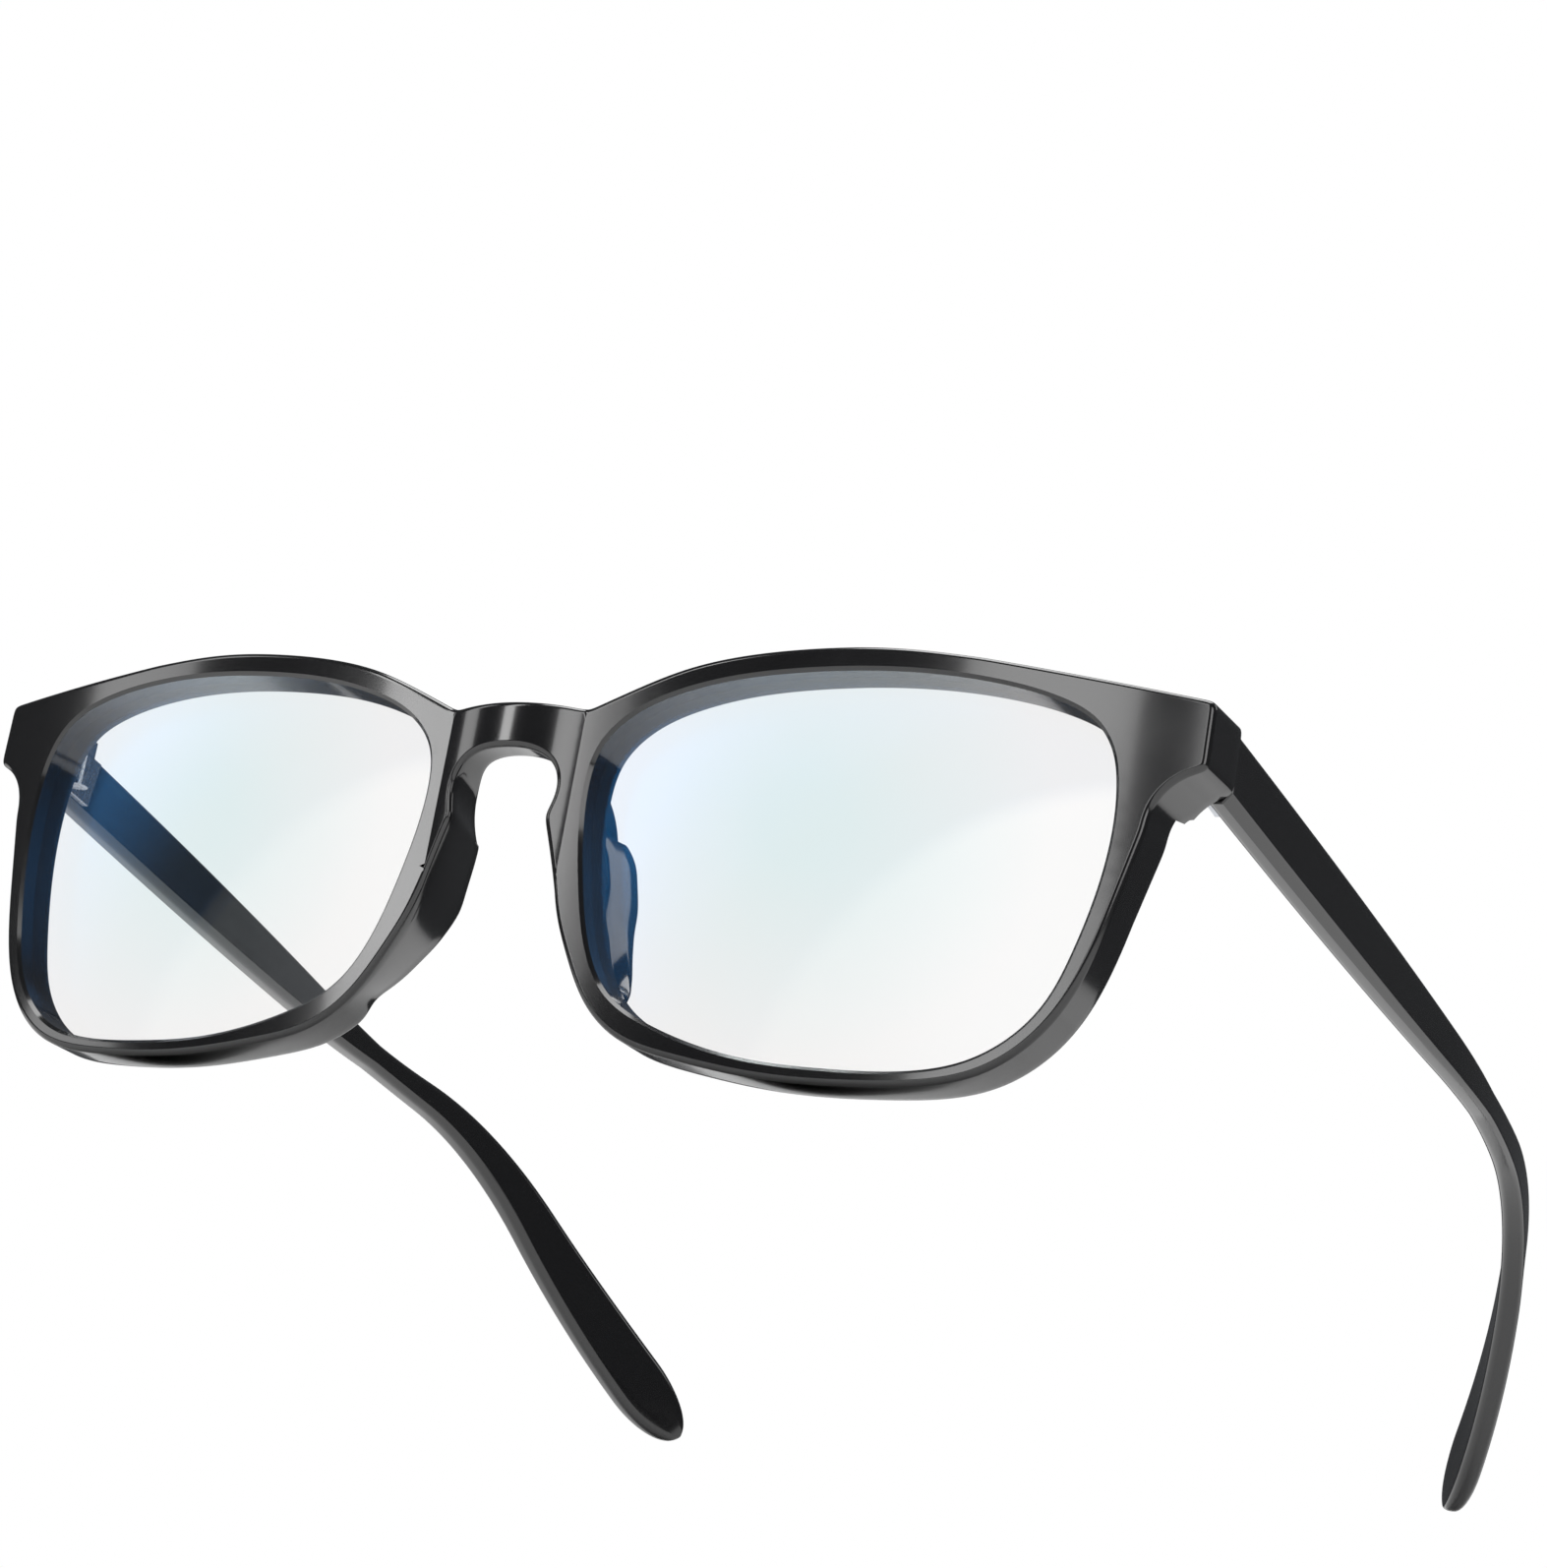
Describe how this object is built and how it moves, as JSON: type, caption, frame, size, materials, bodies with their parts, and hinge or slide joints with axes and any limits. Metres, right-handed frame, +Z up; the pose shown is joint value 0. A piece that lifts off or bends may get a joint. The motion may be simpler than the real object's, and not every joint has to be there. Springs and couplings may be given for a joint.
{
  "type": "blue light glasses",
  "caption": "Full-rim glasses with a keyhole bridge, moulded nose pads, clear lenses with a blue sheen and two temples that fold on barrel hinges.",
  "frame": {"origin": "middle of the whole box, on the plane that the rims and the two open temple tips stand on", "axes": "+X towards the wearer's left, +Y backwards along the temples, +Z up"},
  "size_m": [0.1454, 0.1534, 0.0436],
  "materials": {
    "front_plastic": "polished black injection-moulded plastic",
    "temple_plastic": "polished black injection-moulded plastic",
    "lens": "clear lens with a blue-reflecting coating",
    "hinge_metal": "plated, polished",
    "screw_metal": "turned steel"
  },
  "bodies": {
    "front": {"frame_front": "front_plastic", "left_lens": "lens", "left_front_hinge_leaf": "hinge_metal", "left_hinge_screw": "screw_metal", "right_lens": "lens", "right_front_hinge_leaf": "hinge_metal", "right_hinge_screw": "screw_metal"},
    "left_temple_arm": {"left_temple": "temple_plastic", "left_temple_hinge_leaf": "hinge_metal"},
    "right_temple_arm": {"right_temple": "temple_plastic", "right_temple_hinge_leaf": "hinge_metal"}
  },
  "joints": [
    {"name": "left_temple_fold", "type": "hinge", "parent": "front", "child": "left_temple_arm", "pos_m": [0.0649, -0.05985, 0.03691], "axis": [0, -0.0647, 0.9979], "range_deg": [0, 88]},
    {"name": "right_temple_fold", "type": "hinge", "parent": "front", "child": "right_temple_arm", "pos_m": [-0.0649, -0.05985, 0.03691], "axis": [0, 0.0647, -0.9979], "range_deg": [0, 80]}
  ]
}
